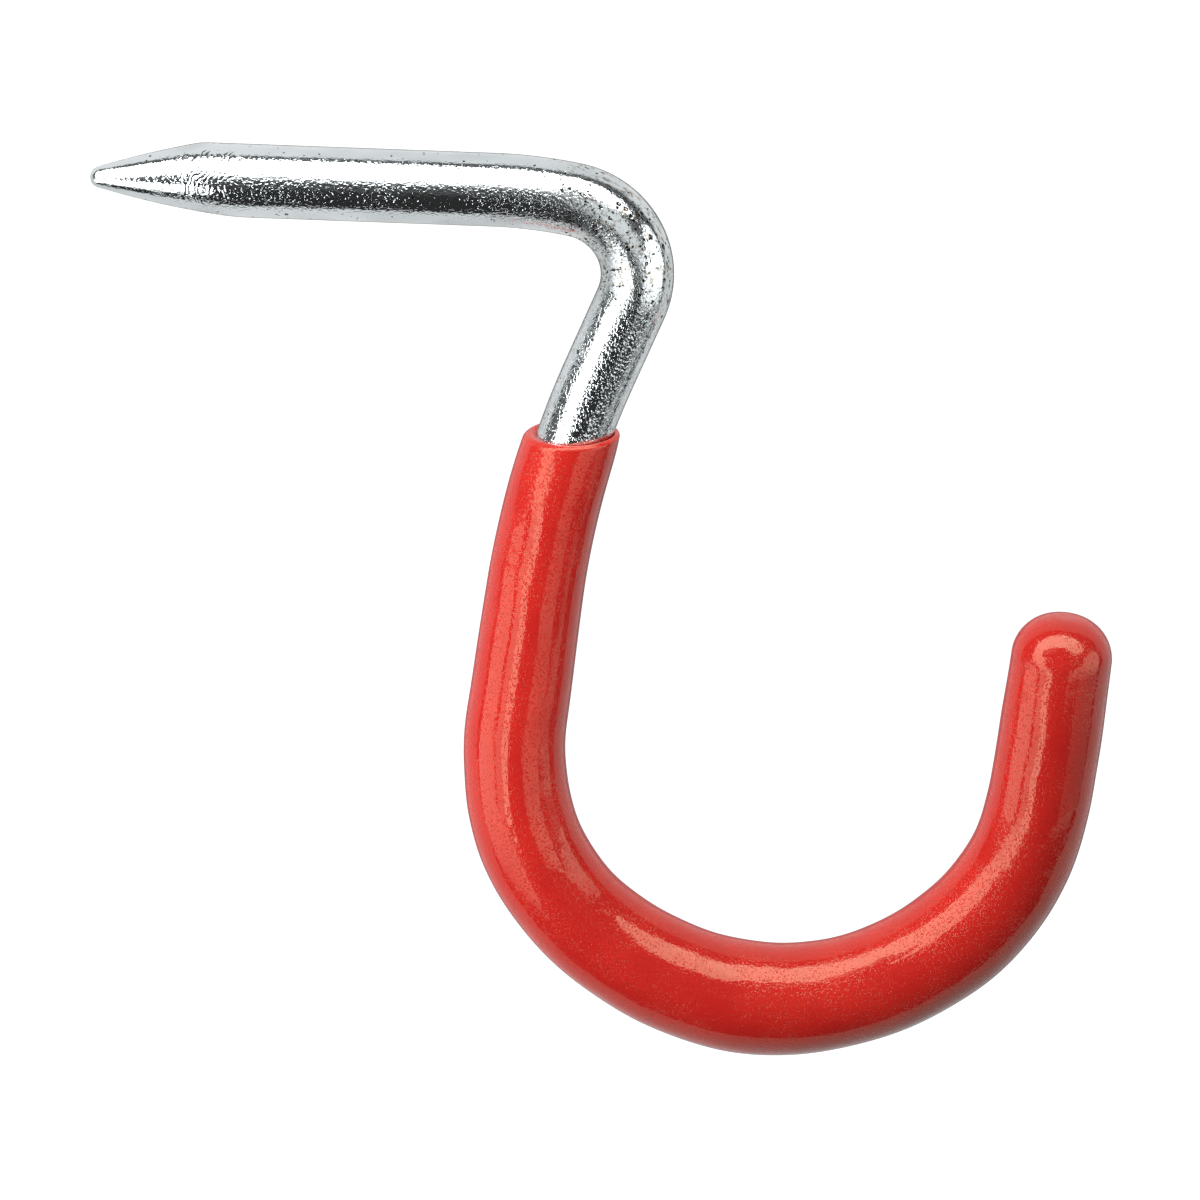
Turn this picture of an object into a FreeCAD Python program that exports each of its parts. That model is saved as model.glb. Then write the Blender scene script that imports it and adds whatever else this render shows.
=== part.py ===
"""Drive-in utility hook: a steel wire bent into a cranked J, with a hammered nail point and a dipped vinyl coat.

The wire is one piece. Its straight nail runs along -X into the wall, a tight crank turns it down beside the wall, and
the coated J lies against the wall and opens upwards. The vinyl was dipped with the nail uppermost, so it ends at a
nearly level rim below the crank, and it thickens towards the bottom of the J, where it drained while it set.

Frame: millimetres, +Z up, the wall is the plane X = 0, and the origin is where the nail's axis meets it.
The whole wire lies in the XZ plane.
"""

import FreeCAD, Part
import math
import os

import Sketcher
from FreeCAD import Placement, Rotation, Vector

# Driving sizes: alias, value in millimetres or degrees, what it is.
SIZES = [
    ("wire_diameter", 6.35, "drawn steel wire"),
    ("nail_reach", 33.6, "from the wall to the tip of the point"),
    ("nail_stand_off", 1.0, "straight wire left outside the wall, before the bends"),
    ("nose_radius", 0.95, "blunt nose of the point"),
    ("nose_half_angle", 16.5, "flank of the point where it leaves the nose"),
    ("flank_radius", 84.0, "the slight swell of the flank"),
    ("point_tilt", 2.2, "the point was formed this much off the wire's axis"),
    ("point_pivot", 4.4, "where its axis crosses the wire's, from the nose"),
    ("point_stock", 1.0, "sheared off in front of the nose when the point was formed"),
    ("shoulder_round", 6.0, "blend between the point and the wire"),
    ("lead_radius", 40.0, "gentle bend before the crank, at the wire's centre"),
    ("lead_angle", 10.2, "its turn, downwards"),
    ("crank_radius", 6.85, "tight bend that the hammer strikes"),
    ("crank_angle", 101.0, "its turn, downwards"),
    ("neck_length", 7.0, "straight neck under the crank"),
    ("set_radius", 79.3, "long bend that brings the shank back to the wall"),
    ("set_angle", 15.0, "its turn"),
    ("shank_length", 11.6, "straight shank above the hook"),
    ("hook_radius", 23.25, "the hook"),
    ("hook_angle", 181.2, "its turn"),
    ("lip_length", 14.0, "straight wire of the upturned lip"),
    ("end_chamfer", 0.6, "broken edge of the cut end inside the coat"),
    ("dip_depth", 21.8, "from the nail's axis down to the coat's rim"),
    ("dip_offset", 8.7, "from the wall to the point of the rim at that depth"),
    ("dip_tilt", 2.7, "slope of the rim, from how the hook hung in the dip"),
    ("rim_round", 0.5, "rounded outer edge of the rim"),
    ("wall_rim", 0.93, "thickness of the coat at its rim"),
    ("wall_shank", 1.08, "at the top of the shank"),
    ("wall_heel", 1.22, "where the hook begins"),
    ("wall_quarter", 1.45, "a quarter of the way round the hook"),
    ("wall_bottom", 1.84, "half way round, where the vinyl drained to"),
    ("wall_three_quarters", 1.68, "three quarters of the way round"),
    ("wall_lip", 1.36, "where the lip begins"),
    ("wall_side_tip", 1.23, "at the side of the closed end"),
    ("wall_end", 1.5, "over the cut end of the wire"),
    ("tip_round", 3.85, "rounding of the closed end"),
    ("sag_rim", 0.12, "the coat's middle lies this far outside the wire's at the rim, where it ran to one side"),
    ("sag_quarter", 0.15, "a quarter of the way round the hook"),
    ("sag_bottom", 0.19, "half way round"),
    ("sag_three_quarters", 0.19, "three quarters of the way round"),
]

# The bends after the nail: name, size that gives its length or radius, size that gives its turn, +1 left or -1 right.
BENDS = [
    ("lead", "lead_radius", "lead_angle", -1),
    ("crank", "crank_radius", "crank_angle", -1),
    ("neck", "neck_length", None, 0),
    ("set", "set_radius", "set_angle", 1),
    ("shank", "shank_length", None, 0),
    ("hook", "hook_radius", "hook_angle", 1),
    ("lip", "lip_length", None, 0),
]

# Points of a sketch's lines and arcs, as constraints name them, and its own origin and axes.
START, END, CENTRE = 1, 2, 3
X_AXIS, Y_AXIS = -1, -2

doc = FreeCAD.newDocument("utility_hook")
sheet = doc.addObject("Spreadsheet::Sheet", "sizes")
for row, (alias, value, meaning) in enumerate(SIZES, start=1):
    sheet.set(f"A{row}", alias)
    sheet.set(f"B{row}", str(value))
    sheet.set(f"C{row}", meaning)
    sheet.setAlias(f"B{row}", alias)
doc.recompute()


def size(alias):
    """The number in a cell of the sheet."""
    return float(sheet.get(alias))


def new_body(name):
    return doc.addObject("PartDesign::Body", name)


def origin_feature(body, role):
    return next(feature for feature in body.Origin.OriginFeatures if feature.Role == role)


def new_sketch(body, name, support, mode="FlatFace", along=None):
    """A sketch attached to a plane, or square to an edge at a fraction of its length."""
    sketch = body.newObject("Sketcher::SketchObject", name)
    sketch.AttachmentSupport = [support]
    sketch.MapMode = mode
    if along is not None:
        sketch.MapPathParameter = along
    return sketch


def bind(sketch, kind, *where, value, name, expression):
    """A dimension on the sketch, named and driven by the sheet."""
    index = sketch.addConstraint(Sketcher.Constraint(kind, *where, value))
    sketch.renameConstraint(index, name)
    sketch.setExpression(f"Constraints.{name}", expression)


def direction(angle):
    return Vector(math.cos(angle), math.sin(angle), 0)


def draw_wire_path(sketch, first, end_cover=None):
    """Draw the wire's centreline. The runs before `first` are construction, and a cover may lengthen the lip."""
    hidden = first != "nail"
    blank_end = size("nail_reach") + size("point_stock")
    start, position, heading = Vector(-blank_end, 0, 0), Vector(size("nail_stand_off"), 0, 0), 0.0
    nail = sketch.addGeometry(Part.LineSegment(start, position), hidden)
    sketch.addConstraint(Sketcher.Constraint("Horizontal", nail))
    sketch.addConstraint(Sketcher.Constraint("PointOnObject", nail, START, X_AXIS))
    bind(sketch, "DistanceX", nail, START, X_AXIS, START, value=blank_end, name="blank_end",
         expression="sizes.nail_reach + sizes.point_stock")
    bind(sketch, "DistanceX", X_AXIS, START, nail, END, value=size("nail_stand_off"), name="nail_stand_off",
         expression="sizes.nail_stand_off")
    last = (nail, END)
    for name, run, turn, side in BENDS:
        hidden = hidden and name != first
        if turn is None:
            runs = [run, end_cover] if name == "lip" and end_cover else [run]
            length = sum(size(part) for part in runs)
            expression = " + ".join(f"sizes.{part}" for part in runs)
            position_next = position + direction(heading) * length
            edge = sketch.addGeometry(Part.LineSegment(position, position_next), hidden)
            ends = (START, END)
            sketch.addConstraint(Sketcher.Constraint("Tangent", *last, edge, ends[0]))
            bind(sketch, "Distance", edge, value=length, name=f"{name}_length", expression=expression)
        else:
            radius, angle = size(run), math.radians(size(turn))
            centre = position + direction(heading + side * math.pi / 2) * radius
            from_centre = heading - side * math.pi / 2
            span = sorted((from_centre, from_centre + side * angle))
            edge = sketch.addGeometry(Part.ArcOfCircle(Part.Circle(centre, Vector(0, 0, 1), radius), *span), hidden)
            ends = (START, END) if side > 0 else (END, START)
            sketch.addConstraint(Sketcher.Constraint("Tangent", *last, edge, ends[0]))
            bind(sketch, "Radius", edge, value=radius, name=f"{name}_radius", expression=f"sizes.{run}")
            bind(sketch, "Angle", edge, value=angle, name=f"{name}_angle", expression=f"sizes.{turn} * 1 deg")
            heading += side * angle
            position_next = centre + direction(heading - side * math.pi / 2) * radius
        position, last = position_next, (edge, ends[1])


def draw_section(sketch, wall=None, sag=None):
    """The round section of the wire, or of the coat over it, whose middle may lie off the wire's."""
    radius = size("wire_diameter") / 2 + (size(wall) if wall else 0.0)
    off_centre = size(sag) if sag else 0.0
    circle = sketch.addGeometry(Part.Circle(Vector(0, off_centre, 0), Vector(0, 0, 1), radius))
    if sag:
        sketch.addConstraint(Sketcher.Constraint("PointOnObject", circle, CENTRE, Y_AXIS))
        bind(sketch, "DistanceY", X_AXIS, START, circle, CENTRE, value=off_centre, name="off_centre",
             expression=f"sizes.{sag}")
    else:
        sketch.addConstraint(Sketcher.Constraint("Coincident", circle, CENTRE, X_AXIS, START))
    bind(sketch, "Radius", circle, value=radius, name="radius",
         expression="sizes.wire_diameter / 2" + (f" + sizes.{wall}" if wall else ""))


# The wire: one round section carried along the whole centreline.
steel_rod = new_body("steel_rod")
wire_path = new_sketch(steel_rod, "wire_path", (origin_feature(steel_rod, "XZ_Plane"), ""))
draw_wire_path(wire_path, "nail")
wire_section = new_sketch(steel_rod, "wire_section", (origin_feature(steel_rod, "YZ_Plane"), ""))
wire_section.setExpression("AttachmentOffset.Base.z", "-sizes.nail_reach - sizes.point_stock")
draw_section(wire_section)
bent_wire = steel_rod.newObject("PartDesign::AdditivePipe", "bent_wire")
bent_wire.Profile = wire_section
bent_wire.Spine = (wire_path, [""])
doc.recompute()

# The point: what a pair of pinching dies took off, turned about an axis slightly off the wire's.
point_sketch = new_sketch(steel_rod, "point_profile", (origin_feature(steel_rod, "XZ_Plane"), ""))
point_sketch.setExpression("AttachmentOffset.Base.x", "-sizes.nail_reach")
point_sketch.setExpression("AttachmentOffset.Base.y", "-sizes.point_pivot * tan(sizes.point_tilt * 1 deg)")
point_sketch.setExpression("AttachmentOffset.Rotation.Angle", "sizes.point_tilt")
point_sketch.AttachmentOffset = Placement(Vector(), Rotation(Vector(0, 0, 1), size("point_tilt")))
nose, half_angle, flank = size("nose_radius"), math.radians(size("nose_half_angle")), size("flank_radius")
clear = 0.59 * size("wire_diameter")
nose_centre = Vector(nose, 0, 0)
nose_end = nose_centre + direction(math.pi / 2 + half_angle) * nose
flank_centre = nose_end + direction(half_angle - math.pi / 2) * flank
flank_end_angle = math.asin((clear - flank_centre.y) / flank)
flank_end = flank_centre + direction(flank_end_angle) * flank
corners = [Vector(flank_end.x, clear, 0), Vector(-clear, clear, 0), Vector(-clear, 0, 0), Vector(0, 0, 0)]
nose_arc = point_sketch.addGeometry(Part.ArcOfCircle(
    Part.Circle(nose_centre, Vector(0, 0, 1), nose), math.pi / 2 + half_angle, math.pi))
flank_arc = point_sketch.addGeometry(Part.ArcOfCircle(
    Part.Circle(flank_centre, Vector(0, 0, 1), flank), flank_end_angle, math.pi / 2 + half_angle))
top, back, bottom = [point_sketch.addGeometry(Part.LineSegment(a, b)) for a, b in zip(corners, corners[1:])]
for constraint in [
    ("PointOnObject", nose_arc, CENTRE, X_AXIS), ("Coincident", nose_arc, END, X_AXIS, START),
    ("Tangent", nose_arc, START, flank_arc, END), ("Coincident", flank_arc, START, top, START),
    ("Coincident", top, END, back, START), ("Coincident", back, END, bottom, START),
    ("Coincident", bottom, END, X_AXIS, START),
    ("Horizontal", top), ("Vertical", back), ("Horizontal", bottom),
]:
    point_sketch.addConstraint(Sketcher.Constraint(*constraint))
bind(point_sketch, "Radius", nose_arc, value=nose, name="nose_radius", expression="sizes.nose_radius")
bind(point_sketch, "Radius", flank_arc, value=flank, name="flank_radius", expression="sizes.flank_radius")
bind(point_sketch, "Angle", nose_arc, value=math.pi / 2 - half_angle, name="nose_sweep",
     expression="90 deg - sizes.nose_half_angle * 1 deg")
bind(point_sketch, "Distance", back, value=clear, name="clear_height", expression="0.59 * sizes.wire_diameter")
bind(point_sketch, "Distance", bottom, value=clear, name="clear_front", expression="0.59 * sizes.wire_diameter")
pointing = steel_rod.newObject("PartDesign::Groove", "pointing")
pointing.Profile = point_sketch
pointing.ReferenceAxis = (point_sketch, ["H_Axis"])
pointing.Angle = 360
doc.recompute()
if not pointing.Shape.Volume < bent_wire.Shape.Volume:
    raise RuntimeError("the pointing took nothing off the wire")


def edges_where(shape, test):
    """Names of the edges that pass the test."""
    return [f"Edge{number}" for number, edge in enumerate(shape.Edges, start=1)
            if not edge.Degenerated and test(edge)]


# The shoulder is where the point's flank runs out into the wire, the only edge there that is no circle or line.
shoulder = steel_rod.newObject("PartDesign::Fillet", "shoulder")
shoulder.Base = (pointing, edges_where(pointing.Shape, lambda edge: edge.Curve.TypeId == "Part::GeomBSplineCurve"
                                       and edge.CenterOfMass.x < -size("point_pivot")))
shoulder.Radius = size("shoulder_round")
shoulder.setExpression("Radius", "sizes.shoulder_round")
cut_end = steel_rod.newObject("PartDesign::Chamfer", "cut_end")
doc.recompute()
last_ring = max((edge for edge in shoulder.Shape.Edges if not edge.Degenerated), key=lambda edge: edge.CenterOfMass.x)
cut_end.Base = (shoulder, edges_where(shoulder.Shape, lambda edge: edge.isSame(last_ring)))
cut_end.Size = size("end_chamfer")
cut_end.setExpression("Size", "sizes.end_chamfer")
steel_rod.Tip = cut_end

# The dipped envelope: round sections over the wire, one where each run begins and four around the hook.
dip_envelope = new_body("dip_envelope")
coat_path = new_sketch(dip_envelope, "coat_path", (origin_feature(dip_envelope, "XZ_Plane"), ""))
draw_wire_path(coat_path, "set", end_cover="wall_end")

# Where each named wall is measured: run of the path, fraction of that run, wall, and how far the coat sagged there.
STATIONS = [
    ("Edge1", 0.0, "wall_rim", "sag_rim"),
    ("Edge2", 0.0, "wall_shank", None),
    ("Edge2", 1.0, "wall_heel", None),
    ("Edge3", 0.25, "wall_quarter", "sag_quarter"),
    ("Edge3", 0.5, "wall_bottom", "sag_bottom"),
    ("Edge3", 0.75, "wall_three_quarters", "sag_three_quarters"),
    ("Edge4", 0.0, "wall_lip", None),
    ("Edge4", 1.0, "wall_side_tip", None),
]
sections = []
for edge, along, wall, sag in STATIONS:
    section = new_sketch(dip_envelope, f"section_{wall}", (coat_path, edge), "NormalToEdge", along)
    draw_section(section, wall, sag)
    sections.append(section)
doc.recompute()
for section in sections:
    # Every circle starts on the same side of the wire, so the skin has one straight seam.
    if section.Placement.Rotation.multVec(Vector(1, 0, 0)).y < 0:
        section.AttachmentOffset = Placement(Vector(), Rotation(Vector(0, 0, 1), 180))
skin = dip_envelope.newObject("PartDesign::AdditivePipe", "skin")
skin.Profile = sections[0]
skin.Spine = (coat_path, [""])
skin.Transformation = "Multisection"
skin.Sections = [(section, [""]) for section in sections[1:]]
doc.recompute()

closed_end = dip_envelope.newObject("PartDesign::Fillet", "closed_end")
tip_ring = max((edge for edge in skin.Shape.Edges if edge.isClosed()), key=lambda edge: edge.CenterOfMass.x)
closed_end.Base = (skin, edges_where(skin.Shape, lambda edge: edge.isSame(tip_ring)))
closed_end.Radius = size("tip_round")
closed_end.setExpression("Radius", "sizes.tip_round")

# The level of the dip: everything above the tilted line is bare wire.
dip_sketch = new_sketch(dip_envelope, "dip_level", (origin_feature(dip_envelope, "XZ_Plane"), ""))
dip_sketch.AttachmentOffset = Placement(Vector(), Rotation(Vector(0, 0, 1), size("dip_tilt")))
dip_sketch.setExpression("AttachmentOffset.Base.x", "sizes.dip_offset")
dip_sketch.setExpression("AttachmentOffset.Base.y", "-sizes.dip_depth")
dip_sketch.setExpression("AttachmentOffset.Rotation.Angle", "sizes.dip_tilt")
reach = 2 * size("wire_diameter")
above = [Vector(-reach, 0, 0), Vector(reach, 0, 0), Vector(reach, reach, 0), Vector(-reach, reach, 0)]
level, right, top, left = [dip_sketch.addGeometry(Part.LineSegment(a, b))
                           for a, b in zip(above, above[1:] + above[:1])]
for constraint in [
    ("Coincident", level, END, right, START), ("Coincident", right, END, top, START),
    ("Coincident", top, END, left, START), ("Coincident", left, END, level, START),
    ("Horizontal", level), ("Vertical", right), ("Horizontal", top), ("Vertical", left),
    ("Symmetric", level, START, level, END, X_AXIS, START),
]:
    dip_sketch.addConstraint(Sketcher.Constraint(*constraint))
bind(dip_sketch, "Distance", level, value=2 * reach, name="width", expression="4 * sizes.wire_diameter")
bind(dip_sketch, "Distance", right, value=reach, name="height", expression="2 * sizes.wire_diameter")
undipped = dip_envelope.newObject("PartDesign::Pocket", "undipped")
undipped.Profile = dip_sketch
undipped.Type = "ThroughAll"
undipped.Midplane = True
doc.recompute()
if not undipped.Shape.Volume < closed_end.Shape.Volume:
    raise RuntimeError("nothing above the dip level was taken away")
rim = dip_envelope.newObject("PartDesign::Fillet", "rim")
rim_ring = max((edge for edge in undipped.Shape.Edges if edge.isClosed()), key=lambda edge: edge.CenterOfMass.z)
rim.Base = (undipped, edges_where(undipped.Shape, lambda edge: edge.isSame(rim_ring)))
rim.Radius = size("rim_round")
rim.setExpression("Radius", "sizes.rim_round")
dip_envelope.Tip = rim
doc.recompute()

# The coat is the envelope less the wire inside it.
vinyl_coating = doc.addObject("Part::Cut", "vinyl_coating")
vinyl_coating.Base = dip_envelope
vinyl_coating.Tool = steel_rod
doc.recompute()

for item in doc.Objects:
    if {"Invalid", "Error"} & set(item.State):
        raise RuntimeError(f"{item.Name} did not compute: {item.State}")
for sketch in doc.findObjects("Sketcher::SketchObject"):
    if not sketch.FullyConstrained:
        raise RuntimeError(f"{sketch.Name} is not fully constrained")

os.makedirs("parts", exist_ok=True)
for node in (steel_rod, vinyl_coating):
    shape = node.Shape
    if shape.isNull() or not shape.isValid() or len(shape.Solids) != 1:
        raise RuntimeError(f"{node.Name} is not one valid solid")
    shape.exportStep(f"parts/{node.Name}.step")
    box = FreeCAD.BoundBox()
    for point in shape.tessellate(0.02)[0]:
        box.add(point)
    print(f"{node.Name}: {shape.Volume / 1000:.2f} cm3, X {box.XMin:.2f} to {box.XMax:.2f}, "
          f"Y {box.YMin:.2f} to {box.YMax:.2f}, Z {box.ZMin:.2f} to {box.ZMax:.2f} mm")
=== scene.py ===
# %% [markdown]
# # A drive-in utility hook, dressed for a product photograph
#
# The real thing is one bent steel wire with a nail point, zinc-plated all over, whose lower half was dipped in red
# vinyl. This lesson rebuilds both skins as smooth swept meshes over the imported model, finishes them with procedural
# materials, and lights them the way small bright metal parts are lit: inside a white tent, with soft boxes for the
# highlights and black cards for the dark lines that give metal its shape.

import math

import bpy
import numpy as np
from mathutils import Matrix, Vector


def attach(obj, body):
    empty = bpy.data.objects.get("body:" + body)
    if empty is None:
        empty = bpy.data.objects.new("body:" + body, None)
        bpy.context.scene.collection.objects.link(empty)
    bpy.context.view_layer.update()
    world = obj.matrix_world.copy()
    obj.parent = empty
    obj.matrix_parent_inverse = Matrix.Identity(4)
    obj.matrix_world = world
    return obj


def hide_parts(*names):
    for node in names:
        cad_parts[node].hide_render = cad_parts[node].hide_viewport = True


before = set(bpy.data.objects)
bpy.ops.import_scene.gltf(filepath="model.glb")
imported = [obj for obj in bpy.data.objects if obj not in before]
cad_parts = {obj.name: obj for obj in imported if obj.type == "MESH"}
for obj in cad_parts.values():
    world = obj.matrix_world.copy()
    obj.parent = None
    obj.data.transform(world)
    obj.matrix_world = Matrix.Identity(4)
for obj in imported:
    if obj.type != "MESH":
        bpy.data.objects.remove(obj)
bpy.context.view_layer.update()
MM = 0.001
print("CAD nodes:", sorted(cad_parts))

# %% [markdown]
# ## The wire's centreline
#
# A bending machine makes this shape from a straight wire: it feeds a length, bends round a former, feeds again. The
# centreline is therefore a chain of straight runs and arcs, each tangent to the next, and it lies in one plane.
# Written as feeds and bends it needs one short list, and any point on it can be worked out exactly. Tracing it as a
# freehand curve would need many more points and would never be quite round.

# %% Feeds and bends
WIRE_RADIUS = 3.175          # 1/4 in drawn wire
NAIL_REACH = 33.6            # from the wall plane to the tip of the point
FEEDS_AND_BENDS = [          # name, length or radius in mm, turn in degrees (anticlockwise seen from the front)
    ("nail", NAIL_REACH + 1.0, 0.0),
    ("lead", 40.0, -10.2),
    ("crank", 6.85, -101.0),
    ("neck", 7.0, 0.0),
    ("set", 79.3, 15.0),
    ("shank", 11.6, 0.0),
    ("hook", 23.25, 181.2),
    ("lip", 14.0, 0.0),
]
run_length = {name: (abs(math.radians(turn)) * size if turn else size) for name, size, turn in FEEDS_AND_BENDS}
run_start = dict(zip(run_length, np.concatenate([[0.0], np.cumsum(list(run_length.values()))])))
WIRE_LENGTH = sum(run_length.values())
print(f"straight length of the wire: {WIRE_LENGTH:.1f} mm")


# %% Points on the centreline
def on_wire(along):
    """Points, headings (radians) of the centreline in the XZ plane, in mm, at distances along the wire."""
    along = np.atleast_1d(np.asarray(along, float))
    x, z, heading = -NAIL_REACH, 0.0, 0.0
    places, headings = np.zeros((len(along), 2)), np.zeros(len(along))
    last = FEEDS_AND_BENDS[-1][0]
    for name, size, turn in FEEDS_AND_BENDS:
        start, length = run_start[name], run_length[name]
        here = along >= start if name == last else (along >= start) & (along < start + length)
        here |= (along < 0) & (name == "nail")
        steps = np.append(along[here] - start, length)
        if turn:
            side = math.copysign(1.0, turn)
            angles = heading + side * steps / size
            xs = x + side * size * (np.sin(angles) - math.sin(heading))
            zs = z - side * size * (np.cos(angles) - math.cos(heading))
        else:
            angles = np.full(len(steps), heading)
            xs, zs = x + steps * math.cos(heading), z + steps * math.sin(heading)
        places[here], headings[here] = np.stack([xs[:-1], zs[:-1]], 1), angles[:-1]
        x, z, heading = xs[-1], zs[-1], angles[-1]
    return places, headings


tip_place, tip_heading = on_wire(WIRE_LENGTH)
print("the wire ends at", tip_place.round(2).tolist(), "mm, heading", round(math.degrees(tip_heading[0]), 1), "degrees")

# %% [markdown]
# ## A skin swept along the wire
#
# Both skins are round sections carried along that centreline. A curve object with a bevel would do it in one line, but
# here the radius changes round the section as well as along it, at the tilted nail point and at the slanted rim of
# the coat. So the rings are computed with numpy and stitched into a grid of quads. Each vertex also remembers where it
# sat on the straight wire before bending, as an attribute in millimetres. Patterns that follow the wire, such as
# drawing lines, are drawn in that straight space and bend with it, and they have no seam.

# %% Stitch rings into a mesh
def sweep(name, along, around, radius):
    """A closed mesh of rings. All three arrays are rings x sectors: distance along the wire, angle and radius."""
    rings, sectors = along.shape
    places, headings = on_wire(along.ravel())
    places, headings = places.reshape(rings, sectors, 2), headings.reshape(rings, sectors)
    outward, across = radius * np.cos(around), radius * np.sin(around)
    points = np.stack([places[..., 0] - outward * np.sin(headings), across,
                       places[..., 1] + outward * np.cos(headings)], -1)
    straight = np.stack([along, outward, across], -1)
    ends = [points[0].mean(0), points[-1].mean(0)]
    vertices = np.concatenate([points.reshape(-1, 3), ends]) * MM
    straight = np.concatenate([straight.reshape(-1, 3), [straight[0].mean(0), straight[-1].mean(0)]])
    faces = [(r * sectors + s, (r + 1) * sectors + s,
              (r + 1) * sectors + (s + 1) % sectors, r * sectors + (s + 1) % sectors)
             for r in range(rings - 1) for s in range(sectors)]
    first, last, base = rings * sectors, rings * sectors + 1, (rings - 1) * sectors
    faces += [(first, s, (s + 1) % sectors) for s in range(sectors)]
    faces += [(last, base + (s + 1) % sectors, base + s) for s in range(sectors)]
    mesh = bpy.data.meshes.new(name)
    mesh.from_pydata(vertices.tolist(), [], faces)
    mesh.attributes.new("straight_mm", "FLOAT_VECTOR", "POINT").data.foreach_set("vector", straight.ravel())
    mesh.shade_smooth()
    mesh.validate()
    piece = bpy.data.objects.new(name, mesh)
    bpy.context.collection.objects.link(piece)
    print(f"{name}: {rings} rings of {sectors}, {len(mesh.polygons)} faces")
    return piece


# %% [markdown]
# ## The steel rod and its nail point
#
# The point of a drive-in hook is pinched between two dies, which leaves a long cone with a blunt nose, a soft shoulder
# where it runs out into the round wire, and an axis that is never quite the wire's own. Modelled as a cone it would
# look turned on a lathe. Here each ring's radius is the smaller of the wire's and a tilted cone's, with a soft
# minimum between them, so the shoulder is blended and runs a little further along the underside.

# %% Shape of the point
NOSE_RADIUS, NOSE_HALF_ANGLE, FLANK_RADIUS = 0.95, math.radians(16.5), 84.0
POINT_TILT, POINT_PIVOT = math.radians(2.2), 4.4


def flank(distance):
    """Radius of the point, in mm, at a distance from its nose: a round nose, then a slightly swelling flank."""
    nose_end = NOSE_RADIUS * (1 - math.sin(NOSE_HALF_ANGLE))
    nose = np.sqrt(np.clip(2 * NOSE_RADIUS * distance - distance ** 2, 0, None))
    beyond = np.clip(distance - nose_end, 0, None)
    swell = NOSE_RADIUS * math.cos(NOSE_HALF_ANGLE) + beyond * math.tan(NOSE_HALF_ANGLE) - beyond ** 2 / (
        2 * FLANK_RADIUS * math.cos(NOSE_HALF_ANGLE) ** 3)
    return np.where(distance < nose_end, nose, swell)


def soft_min(a, b, blend):
    """The smaller of a and b, rounded off where they cross."""
    near = np.clip(0.5 + (b - a) / (2 * blend), 0, 1)
    return b + (a - b) * near - blend * near * (1 - near)


print("point 2, 6 and 10 mm from its nose, radius in mm:", flank(np.array([2.0, 6.0, 10.0])).round(2).tolist())

# %% Rings of the rod
SECTORS = 96
ROD_STEP, SHOWS_FOR, BURIED_RINGS = 0.3, 12.0, 90      # close rings up to 12 mm into the coat, fewer beyond
POINT_ZONE, SHOULDER_BLEND, CUT_CHAMFER = 20.0, 0.14, 0.6      # all in mm
nose_angles = np.linspace(0.12, 1.2, 12)               # radians round the nose's own circle
nose_rings = NOSE_RADIUS * (1 - np.cos(nose_angles))
visible_rings = np.arange(nose_rings[-1] + 0.2, run_start["set"] + SHOWS_FOR, ROD_STEP)
hidden_rings = np.linspace(visible_rings[-1] + 2 * ROD_STEP, WIRE_LENGTH - CUT_CHAMFER, BURIED_RINGS)
rod_along = np.concatenate([nose_rings, visible_rings, hidden_rings, [WIRE_LENGTH]])
sector_angles = np.linspace(0, 2 * math.pi, SECTORS, endpoint=False)
along, around = np.meshgrid(rod_along, sector_angles, indexing="ij")
offset = (along - POINT_PIVOT) * math.tan(POINT_TILT)
cone = flank(along)
inside = np.clip(cone ** 2 - (offset * np.sin(around)) ** 2, 1e-6, None)
cone_from_wire_axis = offset * np.cos(around) + np.sqrt(inside)
pointed = soft_min(np.full_like(cone, WIRE_RADIUS), cone_from_wire_axis, SHOULDER_BLEND)
rod_radius = np.where(along < POINT_ZONE, pointed, WIRE_RADIUS)
rod_radius = np.where(along > WIRE_LENGTH - CUT_CHAMFER / 2, WIRE_RADIUS - CUT_CHAMFER, rod_radius)
rod = sweep("rod_plated", along, around, rod_radius)

# %% [markdown]
# ## The dipped coat
#
# The wire was heated, dipped in liquid vinyl and hung up by its nail to cure. Three things show it. The coat ends at a
# level line, so its rim is slanted to the neck. It is thin there and thickest at the bottom of the J, where it ran
# while it set, a little more to the outer side. And its closed end is a soft, slightly flattened dome. The same sweep
# makes it, with the wall and its sag read from measured stations through a smooth curve.

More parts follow.
